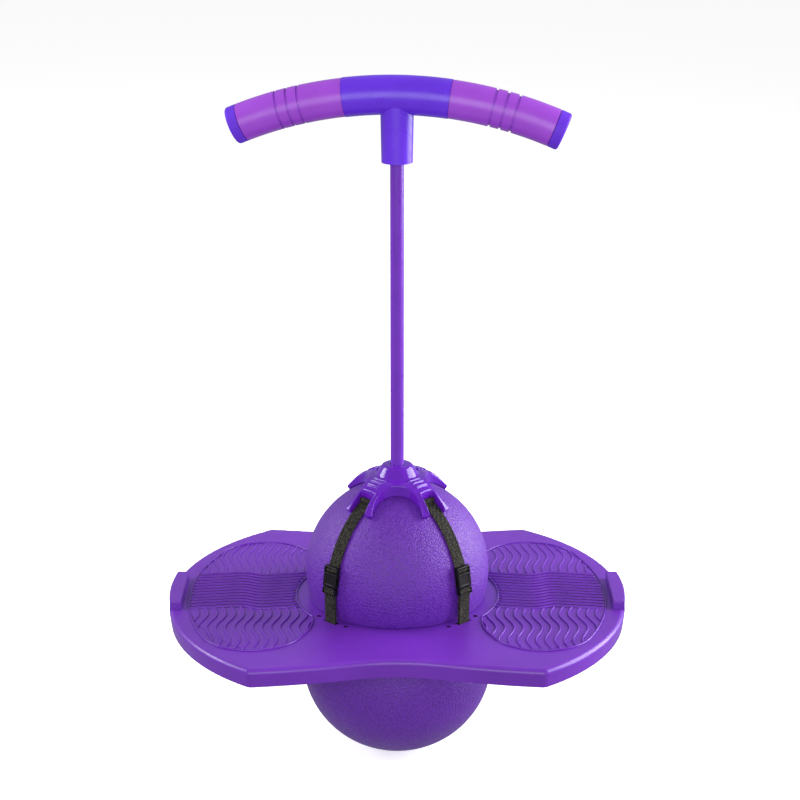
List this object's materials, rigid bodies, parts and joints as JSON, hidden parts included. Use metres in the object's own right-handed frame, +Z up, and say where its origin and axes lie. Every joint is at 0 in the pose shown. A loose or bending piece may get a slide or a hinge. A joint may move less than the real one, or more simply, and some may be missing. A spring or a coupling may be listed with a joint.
{
  "type": "pogo ball with t-handle",
  "caption": "Pogo ball: a wide butterfly foot board round the waist of a two-lobed air ball, with a strapped crown and a T-handle pole.",
  "frame": {"origin": "middle of the ball's contact patch with the ground", "axes": "+Z up along the pole; +X across the board from the left foot to the right foot; -Y to the front, towards the side that the rider faces"},
  "size_m": [0.497, 0.3895, 0.7462],
  "materials": {
    "ball_skin": "pebbled soft PVC, purple, soft sheen",
    "board": "moulded polypropylene, purple, satin",
    "crown": "moulded plastic, purple, glossy",
    "pole": "powder-coated steel tube, purple",
    "tee": "moulded plastic, blue-violet, satin",
    "grip": "soft moulded sleeve, magenta-purple, matt",
    "end_cap": "moulded plastic, blue-violet",
    "webbing": "woven polypropylene webbing, black",
    "buckle": "moulded acetal, black, satin",
    "steel": "zinc-plated steel",
    "valve_rubber": "soft rubber, dark purple"
  },
  "bodies": {
    "foot": {"ball": "ball_skin"},
    "deck": {"board": "board", "crown": "crown", "threaded_insert": "steel", "strap_keepers": "steel", "valve_body": "valve_rubber", "upper_strap_front_right": "webbing", "buckle_female_front_right": "buckle", "lower_strap_front_right": "webbing", "upper_strap_back_right": "webbing", "buckle_female_back_right": "buckle", "lower_strap_back_right": "webbing", "upper_strap_back_left": "webbing", "buckle_female_back_left": "buckle", "lower_strap_back_left": "webbing", "upper_strap_front_left": "webbing", "buckle_female_front_left": "buckle", "lower_strap_front_left": "webbing"},
    "handle": {"pole": "pole", "handle_tee": "tee", "handle_core": "steel", "grip_left": "grip", "grip_right": "grip", "end_cap_left": "end_cap", "end_cap_right": "end_cap"},
    "plug": {"valve_plug": "valve_rubber"},
    "clip_front_right": {"buckle_male_front_right": "buckle"},
    "clip_back_right": {"buckle_male_back_right": "buckle"},
    "clip_back_left": {"buckle_male_back_left": "buckle"},
    "clip_front_left": {"buckle_male_front_left": "buckle"}
  },
  "joints": [
    {"name": "bounce", "type": "slide", "parent": "foot", "child": "deck", "axis": [0, 0, 1], "range_m": [-0.03, 0], "stiffness_N_per_m": 25000, "springref_m": 0.003, "deforming": ["ball"]},
    {"name": "handle_turn", "type": "hinge", "parent": "deck", "child": "handle", "pos_m": [0, 0, 0.33], "axis": [0, 0, 1], "continuous": true},
    {"name": "valve_pull", "type": "slide", "parent": "deck", "child": "plug", "axis": [0, 1, 0], "range_m": [0, 0.012]},
    {"name": "release_front_right", "type": "slide", "parent": "deck", "child": "clip_front_right", "axis": [0.1067, -0.1144, -0.9877], "range_m": [0, 0.014], "deforming": ["lower_strap_front_right"]},
    {"name": "release_back_right", "type": "slide", "parent": "deck", "child": "clip_back_right", "axis": [0.1067, 0.1144, -0.9877], "range_m": [0, 0.014], "deforming": ["lower_strap_back_right"]},
    {"name": "release_back_left", "type": "slide", "parent": "deck", "child": "clip_back_left", "axis": [-0.1067, 0.1144, -0.9877], "range_m": [0, 0.014], "deforming": ["lower_strap_back_left"]},
    {"name": "release_front_left", "type": "slide", "parent": "deck", "child": "clip_front_left", "axis": [-0.1067, -0.1144, -0.9877], "range_m": [0, 0.014], "deforming": ["lower_strap_front_left"]}
  ]
}
